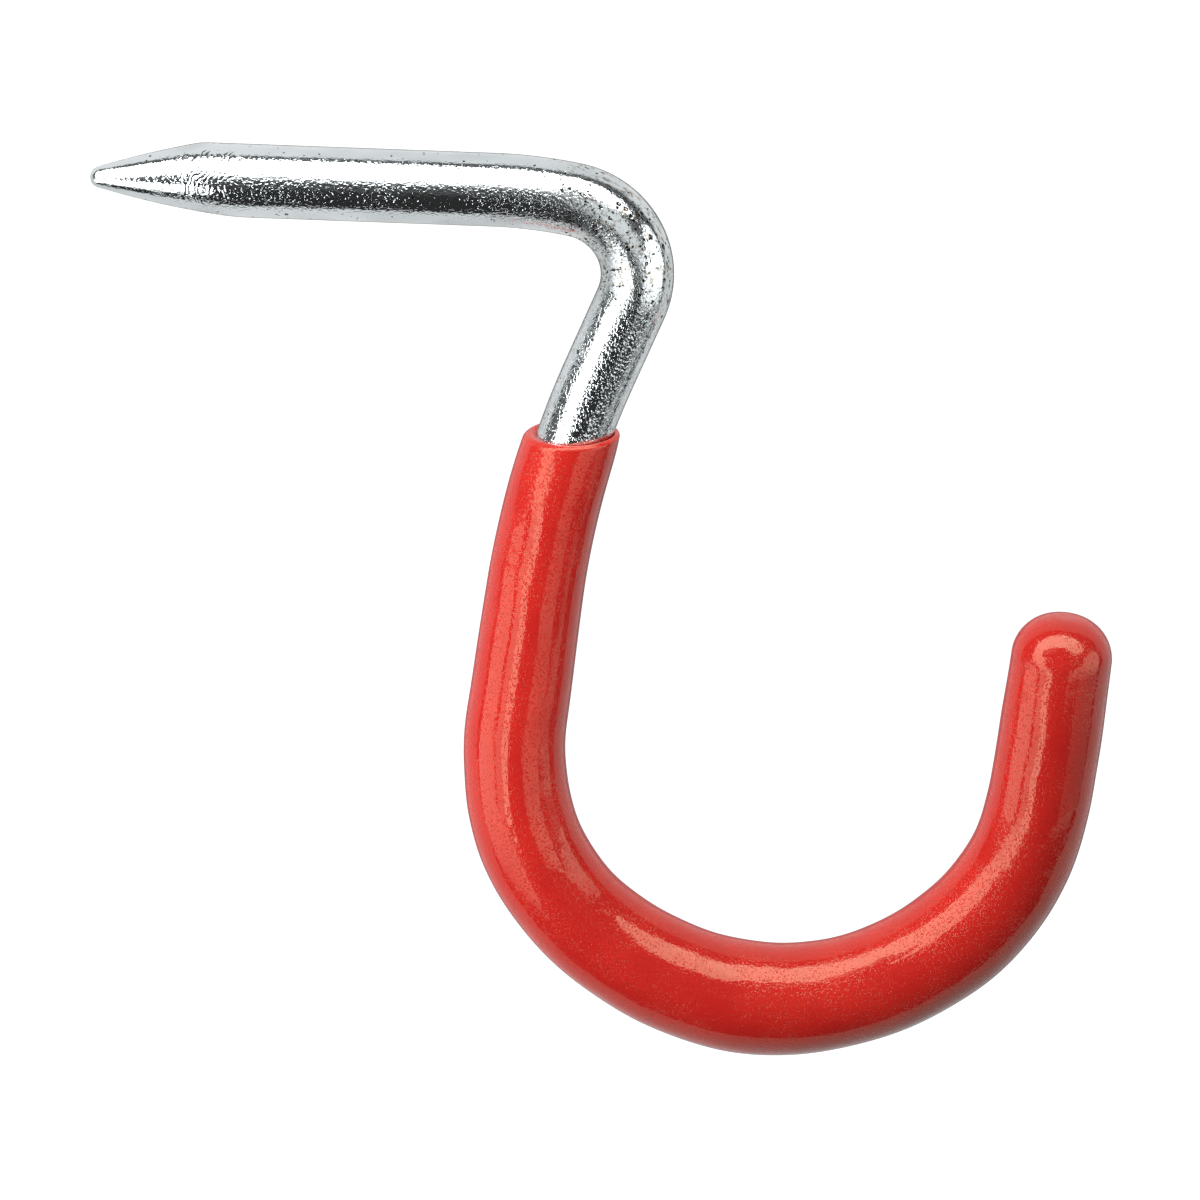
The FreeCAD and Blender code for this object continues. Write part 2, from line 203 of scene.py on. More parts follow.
# %% Wall and sag of the coat along the wire
DIP_DEPTH, DIP_OFFSET, DIP_SLOPE = 21.8, 8.7, math.tan(math.radians(2.7))
COVER, TIP_ROUND = 1.5, 3.85
COAT_LENGTH = WIRE_LENGTH + COVER
HOOK_START, HOOK_LENGTH, LIP_START = run_start["hook"], run_length["hook"], run_start["lip"]
COAT_STATIONS = [            # place along the wire, wall, sag towards the outside of the J, all in mm
    (run_start["set"], 0.93, 0.06),
    (run_start["shank"], 1.10, 0.00),
    (HOOK_START, 1.24, -0.10),
    (HOOK_START + 0.06 * HOOK_LENGTH, 1.30, -0.11),
    (HOOK_START + 0.12 * HOOK_LENGTH, 1.42, 0.08),
    (HOOK_START + 0.17 * HOOK_LENGTH, 1.47, 0.19),
    (HOOK_START + 0.25 * HOOK_LENGTH, 1.46, 0.15),
    (HOOK_START + 0.33 * HOOK_LENGTH, 1.58, 0.00),
    (HOOK_START + 0.40 * HOOK_LENGTH, 1.73, -0.06),
    (HOOK_START + 0.50 * HOOK_LENGTH, 1.84, 0.16),
    (HOOK_START + 0.62 * HOOK_LENGTH, 1.68, 0.16),
    (HOOK_START + 0.76 * HOOK_LENGTH, 1.68, 0.19),
    (HOOK_START + 0.83 * HOOK_LENGTH, 1.58, 0.25),
    (HOOK_START + 0.90 * HOOK_LENGTH, 1.43, 0.14),
    (HOOK_START + 0.97 * HOOK_LENGTH, 1.37, -0.04),
    (LIP_START + 5, 1.37, 0.07),
    (LIP_START + 11, 1.24, 0.07),
    (COAT_LENGTH, 1.20, 0.03),
]


def smooth_through(places, values, where):
    """A curve through the values at the places that never overshoots between them."""
    slopes = np.diff(values) / np.diff(places)
    knots = np.zeros(len(values))
    before, after = slopes[:-1], slopes[1:]
    same_way = before * after > 0
    knots[1:-1][same_way] = 2 * before[same_way] * after[same_way] / (before + after)[same_way]
    span = np.clip(np.searchsorted(places, where, side="right") - 1, 0, len(slopes) - 1)
    width = np.diff(places)[span]
    step = np.clip((where - places[span]) / width, 0, 1)
    return (values[span] * (1 + 2 * step) * (1 - step) ** 2 + values[span + 1] * step ** 2 * (3 - 2 * step)
            + width * (knots[span] * step * (1 - step) ** 2 - knots[span + 1] * step ** 2 * (1 - step)))


def coat_surface(at, angles):
    """Radius of the coat from the wire's centre, at places along it and angles round it."""
    places, walls, sags = (np.array(column) for column in zip(*COAT_STATIONS))
    middle = smooth_through(places, sags, at)
    skin = WIRE_RADIUS + smooth_through(places, walls, at)
    return np.sqrt(skin ** 2 - (middle * np.sin(angles)) ** 2) - middle * np.cos(angles)


bottom = coat_surface(np.full(2, HOOK_START + 0.5 * HOOK_LENGTH), np.array([0, math.pi])) - WIRE_RADIUS
print("coat at the bottom of the J: inside", bottom[0].round(2), "mm, outside", bottom[1].round(2), "mm")


# %% Where the level rim cuts each line of the coat
def rim_along(radius):
    """Distance along the wire at which the coat's surface, at each sector, crosses the dip line."""
    low, high = np.full(SECTORS, run_start["neck"]), np.full(SECTORS, run_start["shank"])
    for _ in range(40):
        middle = (low + high) / 2
        places, headings = on_wire(middle)
        x = places[:, 0] - radius * np.cos(sector_angles) * np.sin(headings)
        z = places[:, 1] + radius * np.cos(sector_angles) * np.cos(headings)
        above = z > -DIP_DEPTH + (x - DIP_OFFSET) * DIP_SLOPE
        low, high = np.where(above, middle, low), np.where(above, high, middle)
    return (low + high) / 2


RIM_WALL = 0.9               # mm of vinyl near the rim, close enough to find where the rim lies
rim_line = rim_along(WIRE_RADIUS + RIM_WALL)
print("the rim runs from", rim_line.min().round(2), "to", rim_line.max().round(2), "mm along the wire")

# %% [markdown]
# The rim's own edge is a rounded lip, a quarter circle from the wire's surface out to the full wall. On the side
# towards the hook's opening the vinyl drained away from the edge as it set, so the wall is thinner there for the
# first two millimetres. The rings start on the slanted rim and turn square to the wire over the next centimetre.

# %% Rings of the coat
RIM_ROUND, CLEARANCE, RIM_TUCK = 0.50, 0.03, 0.08
DRAINED, DRAINED_OVER = 0.30, 1.8
SETTLE_BY, COAT_STEP = 14.0, 0.35                      # the rings are square to the wire 14 mm into the set bend
LIP_RINGS, SETTLE_RINGS, DOME_RINGS = 10, 31, 22
even = np.ones(SECTORS)
drained_here = DRAINED * (0.5 + 0.5 * np.cos(sector_angles)) ** 2
inner_radius = WIRE_RADIUS + CLEARANCE
settle = run_start["set"] + SETTLE_BY
rim_radius = coat_surface(rim_line, sector_angles) - drained_here
rows = [(even * inner_radius, even * (WIRE_LENGTH + CLEARANCE))]
rows += [(even * inner_radius, even * at) for at in hidden_rings[::-1] if at > settle]
rows.append((even * inner_radius, rim_along(WIRE_RADIUS) + RIM_TUCK))
for swing in np.linspace(0, math.pi / 2, LIP_RINGS):
    lip_radius = rim_radius - RIM_ROUND * (1 - math.sin(swing))
    rows.append((lip_radius, rim_along(lip_radius) + RIM_ROUND * (1 - math.cos(swing))))
below_lip = rows[-1][1]
for share in np.linspace(0, 1, SETTLE_RINGS)[1:]:
    at = below_lip * (1 - share) + settle * share
    rows.append((coat_surface(at, sector_angles) - drained_here * np.exp(-(at - below_lip) / DRAINED_OVER), at))
dome_start = COAT_LENGTH - TIP_ROUND
for at in np.arange(settle + COAT_STEP, dome_start, COAT_STEP):
    rows.append((coat_surface(even * at, sector_angles), even * at))
end_radius = rows[-1][0]
for swing in np.linspace(0, math.pi / 2, DOME_RINGS)[1:]:
    rows.append((end_radius - TIP_ROUND * (1 - math.cos(swing)), even * (dome_start + TIP_ROUND * math.sin(swing))))
coat_radius, coat_along = (np.array(column) for column in zip(*rows))
coat_around = np.broadcast_to(sector_angles, coat_radius.shape)
print(len(rows), "rings for the coat, from its inner end round the rim to the dome")

# %% [markdown]
# Cured vinyl is never a perfect tube. It ran a little while it was soft, so its thickness swells and sinks by a few
# hundredths of a millimetre over a centimetre or so. The eye can't see that in the outline but sees it at once in the
# highlights, which wander. A sum of a few slow waves with seeded phases is enough. They fade out before the rim and
# the dome, whose shapes are set.

# %% Slow swells in the cured vinyl
SWELL_MM = 0.014
WAVE_LENGTHS_MM, WAVES_ROUND = (31, 19, 13, 9, 23, 7), (1, 2, 1, 3, 0, 2)
wave_phases = np.random.default_rng(7).uniform(0, 2 * math.pi, (6, 2))
outer_skin = coat_radius > WIRE_RADIUS + 0.3           # leaves out the hidden inner wall
swell = sum(np.sin(coat_along * 2 * math.pi / length + phases[0]) * np.cos(turns * coat_around + phases[1])
            for phases, length, turns in zip(wave_phases, WAVE_LENGTHS_MM, WAVES_ROUND))
before_dome = np.clip((COAT_LENGTH - 0.5 - coat_along) / 4, 0, 1)              # gone 0.5 mm before the coat's end
after_rim = np.clip((coat_along - run_start["set"] - 6) / 6, 0, 1)             # starts 6 mm into the set bend
coat_radius = coat_radius + np.where(outer_skin, SWELL_MM * swell * (before_dome * after_rim), 0)
coat = sweep("coat_dipped", coat_along, coat_around, coat_radius)
print("swell of the coat: up to", round(float(np.abs(SWELL_MM * swell).max()), 3), "mm")

# %% [markdown]
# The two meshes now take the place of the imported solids, which stay in the frame for the physics. Each one rides on
# the hook's only body and is told which finish of the record it shows.

# %% Stand the pieces in for the CAD skins
for piece, node, finish in ((rod, "steel_rod", "zinc_plated_steel"), (coat, "vinyl_coating", "red_vinyl")):
    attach(piece, "root")
    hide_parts(node)
    print(piece.name, "stands in for", node)

# %% [markdown]
# ## Tools for the finishes
#
# A material in Blender is a graph of nodes. Two small helpers keep the graphs readable. One turns the sRGB hex colour
# that a colour picker gives into the linear light that nodes work in. The other adds a node with its settings and
# links in one line. Where it is given another node as an input, it links that node's first output, which is nearly
# always the one that is wanted.

# %% Colour and node helpers
def linear(hex_colour):
    """An sRGB hex colour as linear red, green, blue and alpha."""
    parts = [int(hex_colour[i:i + 2], 16) / 255 for i in (1, 3, 5)]
    return (*(c / 12.92 if c <= 0.04045 else ((c + 0.055) / 1.055) ** 2.4 for c in parts), 1.0)


def add(tree, kind, inputs=(), **settings):
    """Adds a shader node. inputs are values, outputs or whole nodes to link from, in order or by name."""
    node = tree.nodes.new("ShaderNode" + kind)
    for key, value in settings.items():
        setattr(node, key, value)
    for key, value in inputs.items() if isinstance(inputs, dict) else enumerate(inputs):
        if isinstance(value, bpy.types.Node):
            value = value.outputs[0]
        if isinstance(value, bpy.types.NodeSocket):
            tree.links.new(value, node.inputs[key])
        else:
            node.inputs[key].default_value = value
    return node


SOFT_STEP = {"interpolation_type": "SMOOTHSTEP"}       # a Map Range node that eases in and out between its limits
print("half grey, #808080, is", round(linear("#808080")[0], 3), "in linear light")


# %% An empty finish
def new_finish(name, piece):
    """An empty material on a piece: its nodes, its shader, and the straightened position on the wire in mm."""
    finish = bpy.data.materials.new(name)
    finish.use_nodes = True
    tree = finish.node_tree
    tree.nodes.clear()
    shader = add(tree, "BsdfPrincipled")
    add(tree, "OutputMaterial", {"Surface": shader})
    straight = add(tree, "Attribute", attribute_name="straight_mm").outputs["Vector"]
    piece.data.materials.append(finish)
    print("new finish", name, "on", piece.name)
    return tree, shader, straight


# %% [markdown]
# ## Zinc-plated steel
#
# The wire was drawn through a die, cut, pointed, bent and then barrel-plated with bright zinc. Zinc gives a slightly
# blue mirror, but the steel under it is pitted and scratched along its length by the die, and hooks tumble against
# each other in the plating barrel. So the mirror is broken into fine grain, stretched along the wire, with pits and a
# few rust-brown specks where the plating was stretched over the bend. Photographs of such grain show flat facets with
# sharp edges, not soft hills, so the noise goes through a step that flattens its tops and hollows.

# %% Grain of the plated wire
zinc, zinc_shader, zinc_mm = new_finish("zinc_plated_steel", rod)
GRAIN_MM, GRAIN_STRETCH, BLOTCH_MM = 0.22, 1.6, 4.0    # the real grain is nearer 0.1 mm, too fine to show at this size
SHALLOW_MM, DEEP_MM = 0.010, 0.018                     # depth of the grain between the blotches and in them
per_grain = (1 / GRAIN_MM / GRAIN_STRETCH, 1 / GRAIN_MM, 1 / GRAIN_MM)
per_blotch = (0.5 / BLOTCH_MM, 1 / BLOTCH_MM, 1 / BLOTCH_MM)
grain_at = add(zinc, "VectorMath", (zinc_mm, per_grain), operation="MULTIPLY")
grain_noise = add(zinc, "TexNoise", {"Vector": grain_at, "Scale": 1.0, "Detail": 1.0, "Roughness": 0.6})
grain = add(zinc, "MapRange", (grain_noise, 0.40, 0.64), **SOFT_STEP)
blotch_at = add(zinc, "VectorMath", (zinc_mm, per_blotch), operation="MULTIPLY")
blotch = add(zinc, "TexNoise", {"Vector": blotch_at, "Scale": 1.0, "Detail": 2.0})
grain_depth_mm = add(zinc, "MapRange", (blotch, 0.36, 0.62, SHALLOW_MM, DEEP_MM), **SOFT_STEP)
print("zinc: grain", GRAIN_MM, "mm wide and", round(GRAIN_MM * GRAIN_STRETCH, 2), "mm long")

# %% [markdown]
# The grain isn't even. The straight nail's upper and lower sides are smoother, the neck's are rougher, and the point
# was pressed smooth by its dies. The place along the wire and the distance from its mid-plane pick these out.

# %% Where the grain is smoother
SIDES_MM, NECK_MM, POINT_MM = (2.2, 2.7), (48.0, 55.0), (4.0, 11.0)      # where each begins and where it is full
NAIL_SIDES, NECK_SIDES, ON_POINT = 0.30, 1.2, 0.40                       # share of the grain's depth that is left
place = add(zinc, "SeparateXYZ", (zinc_mm,))
from_middle = add(zinc, "Math", (place.outputs[1],), operation="ABSOLUTE")
left_on_sides = add(zinc, "MapRange", (place.outputs[0], *NECK_MM, NAIL_SIDES, NECK_SIDES), **SOFT_STEP)
left_round_wire = add(zinc, "MapRange", (from_middle, *SIDES_MM, 1.0, left_on_sides), **SOFT_STEP)
left_on_point = add(zinc, "MapRange", (place.outputs[0], *POINT_MM, ON_POINT, 1.0), **SOFT_STEP)
left = add(zinc, "Math", (left_round_wire, left_on_point), operation="MULTIPLY")
left_mm = add(zinc, "Math", (grain_depth_mm, left), operation="MULTIPLY")
grain_mm = add(zinc, "Math", (grain, left_mm), operation="MULTIPLY")
print("grain", SHALLOW_MM, "to", DEEP_MM, "mm deep, and", NAIL_SIDES, "of that on the nail's sides")

# %% [markdown]
# The dies that pinched the point left a row of fine crescents where it meets the round wire. They are ripples along
# the wire, bent back at the sides and broken up by noise, and a mask keeps them to the shoulder.

# %% Die marks at the shoulder
RIPPLE_MM, RIPPLE_DEPTH_MM, SHOULDER_FROM, SHOULDER_TO = 0.60, 0.012, 7.0, 14.0
BOW_PER_MM, STRAY_MM = 0.22, 2.6             # how fast the crescents bend back, and how far the noise moves them
stray_at = add(zinc, "VectorMath", (zinc_mm, (0.9, 0.6, 0.6)), operation="MULTIPLY")
stray_noise = add(zinc, "TexNoise", {"Vector": stray_at, "Scale": 1.0, "Detail": 1.0})
stray_mm = add(zinc, "Math", (stray_noise, STRAY_MM), operation="MULTIPLY")
sideways_squared = add(zinc, "Math", (place.outputs[1], 2.0), operation="POWER")
bow_mm = add(zinc, "Math", (sideways_squared, BOW_PER_MM), operation="MULTIPLY")
bowed_mm = add(zinc, "Math", (place.outputs[0], bow_mm), operation="SUBTRACT")
crescent_mm = add(zinc, "Math", (bowed_mm, stray_mm), operation="ADD")
phase = add(zinc, "Math", (crescent_mm, 2 * math.pi / RIPPLE_MM), operation="MULTIPLY")
ripple = add(zinc, "Math", (phase,), operation="SINE")
after_point = add(zinc, "MapRange", (place.outputs[0], SHOULDER_FROM, SHOULDER_FROM + 2), **SOFT_STEP)
before_nail = add(zinc, "MapRange", (place.outputs[0], SHOULDER_TO, SHOULDER_TO - 3), **SOFT_STEP)
at_shoulder = add(zinc, "Math", (after_point, before_nail), operation="MULTIPLY")
ripple_there = add(zinc, "Math", (ripple, at_shoulder), operation="MULTIPLY")
ripple_mm = add(zinc, "Math", (ripple_there, RIPPLE_DEPTH_MM), operation="MULTIPLY")
print("die marks", RIPPLE_MM, "mm apart, from", SHOULDER_FROM, "to", SHOULDER_TO, "mm behind the nose")

# %% [markdown]
# The bend was stretched after drawing, so the plating there is duller and has pits with dark rims, dots of bare steel
# and a rust-brown mottling. The position along the wire is known, so a mask can pick out the bend, and elsewhere only
# a few dots are left. Within the bend, a slow noise gathers them in clusters.

# %% Where the bend was stretched
CRANK_LENGTH = run_length["crank"]
crank_middle = run_start["crank"] + 0.45 * CRANK_LENGTH
BEND_REACH, BEND_CORE = 0.80 * CRANK_LENGTH, 0.25 * CRANK_LENGTH
along_bend = add(zinc, "Math", (place.outputs[0], crank_middle), operation="SUBTRACT")
from_bend = add(zinc, "Math", (along_bend,), operation="ABSOLUTE")
at_bend = add(zinc, "MapRange", (from_bend, BEND_REACH, BEND_CORE), **SOFT_STEP)
cluster_at = add(zinc, "VectorMath", (zinc_mm, (0.7, 0.7, 0.7)), operation="MULTIPLY")
cluster_noise = add(zinc, "TexNoise", {"Vector": cluster_at, "Scale": 1.0, "Detail": 1.0})
cluster = add(zinc, "MapRange", (cluster_noise, 0.30, 0.55), **SOFT_STEP)
crowded = add(zinc, "Math", (at_bend, cluster), operation="MULTIPLY")
print("the stretched steel reaches", round(BEND_REACH, 1), "mm to each side of the bend's middle")

# %% [markdown]
# A Voronoi texture scatters one pit in each of its cells, and a random number of the cell decides which cells have
# one. Its cells look like a grid of dots unless noise first shifts the points.

# %% Scattered pits and dots
PIT_MM, DOT_MM, JITTER_MM = 0.52, 0.25, 0.30           # a pit fills about half of its cell
PITS_ELSEWHERE, DOTS_ELSEWHERE, AT_BEND = 0.004, 0.020, 0.30             # share of the cells that have one
jitter_at = add(zinc, "VectorMath", (zinc_mm, (4.0, 4.0, 4.0)), operation="MULTIPLY")
jitter_noise = add(zinc, "TexNoise", {"Vector": jitter_at, "Scale": 1.0}).outputs["Color"]
jitter = add(zinc, "VectorMath", (jitter_noise, (JITTER_MM,) * 3), operation="MULTIPLY")
jittered_mm = add(zinc, "VectorMath", (zinc_mm, jitter), operation="ADD")


def scattered(cell_mm, share_elsewhere):
    """Distance from the middle of a pit, 1 where the cell has a pit, and a random number of the cell."""
    cell_at = add(zinc, "VectorMath", (jittered_mm, (1 / cell_mm,) * 3), operation="MULTIPLY")
    cells = add(zinc, "TexVoronoi", {"Vector": cell_at, "Scale": 1.0})
    luck = add(zinc, "SeparateColor", (cells.outputs["Color"],))
    share = add(zinc, "MapRange", (crowded, 0.0, 1.0, share_elsewhere, AT_BEND), **SOFT_STEP)
    chosen = add(zinc, "Math", (luck.outputs[0], share), operation="LESS_THAN")
    return cells.outputs["Distance"], chosen, luck.outputs[1]


from_pit, pit_here, pit_luck = scattered(PIT_MM, PITS_ELSEWHERE)
from_dot, dot_here, dot_luck = scattered(DOT_MM, DOTS_ELSEWHERE)
print("cells for pits are", PIT_MM, "mm wide and for dots", DOT_MM, "mm;", AT_BEND, "of them are used at the bend")

# %% [markdown]
# Each pit has a dark rim, a floor that may be rusty and a depth. A dot is only a speck of dark steel. The distances
# here are in cells, so a rim at 0.2 to 0.3 of a cell is 0.10 to 0.16 mm from the pit's middle.

# %% Rims, floors and depths
PIT_DEPTH_MM, GRAIN_AT_BEND = 0.03, 0.45
rim_outside = add(zinc, "MapRange", (from_pit, 0.40, 0.30), **SOFT_STEP)
rim_inside = add(zinc, "MapRange", (from_pit, 0.06, 0.20, 0.25, 1.0), **SOFT_STEP)
rim = add(zinc, "Math", (rim_outside, rim_inside), operation="MULTIPLY")
pit_rim = add(zinc, "Math", (pit_here, rim), operation="MULTIPLY")
floor_inside = add(zinc, "MapRange", (from_pit, 0.22, 0.10), **SOFT_STEP)
pit_floor = add(zinc, "Math", (pit_here, floor_inside), operation="MULTIPLY")
dot = add(zinc, "MapRange", (from_dot, 0.50, 0.32), **SOFT_STEP)
dots = add(zinc, "Math", (dot_here, dot), operation="MULTIPLY")
grain_share = add(zinc, "MapRange", (at_bend, 0.0, 1.0, 1.0, GRAIN_AT_BEND), **SOFT_STEP)
grain_left_mm = add(zinc, "Math", (grain_mm, grain_share), operation="MULTIPLY")
raised_mm = add(zinc, "Math", (ripple_mm, grain_left_mm), operation="ADD")
pit_mm = add(zinc, "MapRange", (from_pit, 0.46, 0.16, 0.0, PIT_DEPTH_MM), **SOFT_STEP)
sunk_mm = add(zinc, "Math", (pit_here, pit_mm), operation="MULTIPLY")
zinc_relief_mm = add(zinc, "Math", (raised_mm, sunk_mm), operation="SUBTRACT")
print("pits", PIT_DEPTH_MM, "mm deep, with", GRAIN_AT_BEND, "of the grain left at the bend")

# %% [markdown]
# Rust shows first as a brown film where the plating is thin: in the clusters of pits, and faintly in the larger
# blotches. It is a finer noise, masked by both.

# %% Brown stain
STAIN_IN_CLUSTERS, STAIN_IN_BLOTCHES = 0.75, 0.22
stain_at = add(zinc, "VectorMath", (zinc_mm, (2.4, 3.2, 3.2)), operation="MULTIPLY")
stain_noise = add(zinc, "TexNoise", {"Vector": stain_at, "Scale": 1.0, "Detail": 3.0, "Roughness": 0.65})
stain_spots = add(zinc, "MapRange", (stain_noise, 0.50, 0.62), **SOFT_STEP)
in_clusters = add(zinc, "Math", (crowded, STAIN_IN_CLUSTERS), operation="MULTIPLY")
in_blotches = add(zinc, "MapRange", (blotch, 0.60, 0.70, 0.0, STAIN_IN_BLOTCHES), **SOFT_STEP)
stained_part = add(zinc, "Math", (in_clusters, in_blotches), operation="MAXIMUM")
stain = add(zinc, "Math", (stain_spots, stained_part), operation="MULTIPLY")
print("stain: up to", STAIN_IN_CLUSTERS, "in the clusters and", STAIN_IN_BLOTCHES, "in the blotches")

# %% [markdown]
# The colour starts as plated zinc, and each layer is mixed over the one before. Zinc is a metal, so its colour tints
# the mirror, and its IOR stays at Blender's default. A bright plating has a roughness near 0.1. The bend is duller,
# and so is the rim of a pit.

# %% Zinc shader
ZINC, ZINC_DULL, BARE_STEEL, RUST = linear("#DDE3E5"), linear("#CBD2D4"), linear("#171614"), linear("#776142")
BRIGHT_ROUGHNESS, DULL_ROUGHNESS, RIM_ROUGHNESS = 0.07, 0.11, 0.06
BEND_INSIDE, BEND_OUTSIDE = 0.12, 0.02                 # roughness that the bend adds, from its inside to its outside
dull = add(zinc, "MapRange", (blotch, 0.42, 0.68), **SOFT_STEP)
rusty_floor = add(zinc, "Math", (pit_floor, pit_luck), operation="MULTIPLY")
dot_strength = add(zinc, "MapRange", (dot_luck, 0.0, 0.6, 0.5, 1.0), **SOFT_STEP)
dark_dots = add(zinc, "Math", (dots, dot_strength), operation="MULTIPLY")
zinc_colour = ZINC                                     # sockets 6 and 7 and output 2 of a Mix node are its colours
for share, colour in ((dull, ZINC_DULL), (stain, RUST), (rusty_floor, RUST), (pit_rim, BARE_STEEL),
                      (dark_dots, BARE_STEEL)):
    zinc_colour = add(zinc, "Mix", {"Factor": share, 6: zinc_colour, 7: colour}, data_type="RGBA").outputs[2]
polished = add(zinc, "MapRange", (blotch, 0.35, 0.7, BRIGHT_ROUGHNESS, DULL_ROUGHNESS), **SOFT_STEP)
stretched = add(zinc, "MapRange", (place.outputs[1], 0.6, 2.0, BEND_INSIDE, BEND_OUTSIDE), **SOFT_STEP)
rubbed = add(zinc, "Math", (at_bend, stretched), operation="MULTIPLY")
rough_rim = add(zinc, "Math", (pit_rim, RIM_ROUGHNESS), operation="MULTIPLY")
duller = add(zinc, "Math", (rubbed, rough_rim), operation="ADD")
zinc_roughness = add(zinc, "Math", (polished, duller), operation="ADD")
zinc_bump = add(zinc, "Bump", {"Height": zinc_relief_mm, "Strength": 1.0, "Distance": MM})
zinc.links.new(zinc_colour, zinc_shader.inputs["Base Color"])
zinc.links.new(zinc_roughness.outputs[0], zinc_shader.inputs["Roughness"])
zinc.links.new(zinc_bump.outputs["Normal"], zinc_shader.inputs["Normal"])
zinc_shader.inputs["Metallic"].default_value = 1.0
print("zinc finish:", len(zinc.nodes), "nodes, colour", [round(c, 3) for c in ZINC[:3]])

# %% [markdown]
# ## PVC plastisol
#
# Plastisol is vinyl powder in oil, which the hot wire fuses into a skin. It is glossy like any cured liquid, a little
# softer to the eye than paint, and its surface has orange peel about a millimetre across with a much finer grain on
# top. The pigment is strong, so the colour barely changes, apart from faint mottling and odd specks of dust.

# %% Surface of the dipped vinyl
vinyl, vinyl_shader, vinyl_mm = new_finish("pvc_plastisol_red", coat)
PEEL_MM, DIMPLE_MM, DUST_MM = 1.1, 0.21, 0.8           # the finest real dimples, near 0.1 mm, wouldn't show
PEEL_DEPTH_MM, DIMPLE_DEPTH_MM, DUST_HEIGHT_MM = 0.022, 0.020, 0.010
peel_at = add(vinyl, "VectorMath", (vinyl_mm, (1 / PEEL_MM,) * 3), operation="MULTIPLY")
peel = add(vinyl, "TexNoise", {"Vector": peel_at, "Scale": 1.0, "Detail": 1.0})
fine_at = add(vinyl, "VectorMath", (vinyl_mm, (1 / DIMPLE_MM,) * 3), operation="MULTIPLY")
fine = add(vinyl, "TexNoise", {"Vector": fine_at, "Scale": 1.0, "Detail": 1.5})
mottle_at = add(vinyl, "VectorMath", (vinyl_mm, (0.16, 0.22, 0.22)), operation="MULTIPLY")
mottle = add(vinyl, "TexNoise", {"Vector": mottle_at, "Scale": 1.0, "Detail": 3.0})
dimpled = add(vinyl, "MapRange", (fine, 0.52, 0.72), **SOFT_STEP)
patches = add(vinyl, "MapRange", (mottle, 0.35, 0.60, 0.35, 1.0), **SOFT_STEP)
dimples = add(vinyl, "Math", (dimpled, patches), operation="MULTIPLY")
print("vinyl: orange peel", PEEL_MM, "mm, dimples", DIMPLE_MM, "mm")

# %% Dust and relief
dust_at = add(vinyl, "VectorMath", (vinyl_mm, (1 / DUST_MM,) * 3), operation="MULTIPLY")
dust_cells = add(vinyl, "TexVoronoi", {"Vector": dust_at, "Scale": 1.0})
dust_luck = add(vinyl, "SeparateColor", (dust_cells.outputs["Color"],))
dusty_cell = add(vinyl, "MapRange", (dust_luck.outputs[0], 0.93, 0.96), **SOFT_STEP)
speck = add(vinyl, "MapRange", (dust_cells.outputs["Distance"], 0.16, 0.09), **SOFT_STEP)
dust = add(vinyl, "Math", (dusty_cell, speck), operation="MULTIPLY")
peel_mm = add(vinyl, "Math", (peel, PEEL_DEPTH_MM), operation="MULTIPLY")
dimple_mm = add(vinyl, "Math", (dimples, DIMPLE_DEPTH_MM), operation="MULTIPLY")
skin_mm = add(vinyl, "Math", (peel_mm, dimple_mm), operation="SUBTRACT")
dust_mm = add(vinyl, "Math", (dust, DUST_HEIGHT_MM), operation="MULTIPLY")
vinyl_relief_mm = add(vinyl, "Math", (skin_mm, dust_mm), operation="ADD")
print("relief: peel", PEEL_DEPTH_MM, "mm, dimples", DIMPLE_DEPTH_MM, "mm, dust", DUST_HEIGHT_MM, "mm")

# %% [markdown]
# Vinyl isn't a metal: its colour comes from inside the skin, and the gloss on top is the light's own colour. PVC has
# an IOR near 1.53, and a fresh dipped skin a roughness of 0.05 to 0.1. The warm tint of the gloss stands for the
# pigment just below the surface, which the highlights of this red pick up.

# %% Vinyl shader
RED, RED_DEEP, DIMPLE_SHADE_RED, DUST = linear("#E42F27"), linear("#DA2A25"), linear("#8E1412"), linear("#7A100F")
DIMPLE_SHADE, DUST_TINT = 0.26, 0.5
deepening = add(vinyl, "MapRange", (mottle, 0.35, 0.7), **SOFT_STEP)
# The darker red mixed into the sunk dimples is painted shade in their hollows, not a colour of the vinyl.
dimple_shade = add(vinyl, "Math", (dimples, DIMPLE_SHADE), operation="MULTIPLY")
dust_tint = add(vinyl, "Math", (dust, DUST_TINT), operation="MULTIPLY")
vinyl_colour = RED_DEEP
for share, colour in ((deepening, RED), (dimple_shade, DIMPLE_SHADE_RED), (dust_tint, DUST)):
    vinyl_colour = add(vinyl, "Mix", {"Factor": share, 6: vinyl_colour, 7: colour}, data_type="RGBA").outputs[2]
vinyl_roughness = add(vinyl, "MapRange", (mottle, 0.3, 0.7, 0.045, 0.080), **SOFT_STEP)
vinyl_bump = add(vinyl, "Bump", {"Height": vinyl_relief_mm, "Strength": 1.0, "Distance": MM})
vinyl.links.new(vinyl_colour, vinyl_shader.inputs["Base Color"])
vinyl.links.new(vinyl_roughness.outputs[0], vinyl_shader.inputs["Roughness"])
vinyl.links.new(vinyl_bump.outputs["Normal"], vinyl_shader.inputs["Normal"])
vinyl_shader.inputs["IOR"].default_value = 1.53
vinyl_shader.inputs["Specular Tint"].default_value = linear("#FFE9C6")
print("vinyl finish:", len(vinyl.nodes), "nodes")

# %% [markdown]
# ## The studio
#
# Bright metal shows its surroundings, so the surroundings are built first and the lights second. Behind the hook all
# is white paper, which gives the pale edges. In front it is dark, with a big soft box overhead that hangs down on both
# sides, a low one on the left, a tall weaker one on the right, and black card below the camera for the dark band
# without which the steel would look like white plastic. The camera sees none of them. Each is a strip of a sphere
# round the hook, given by the directions of its edges, because a reflection depends on direction far more than on
# distance. A flat sheet between directions far apart would cut the corner and come much too near.

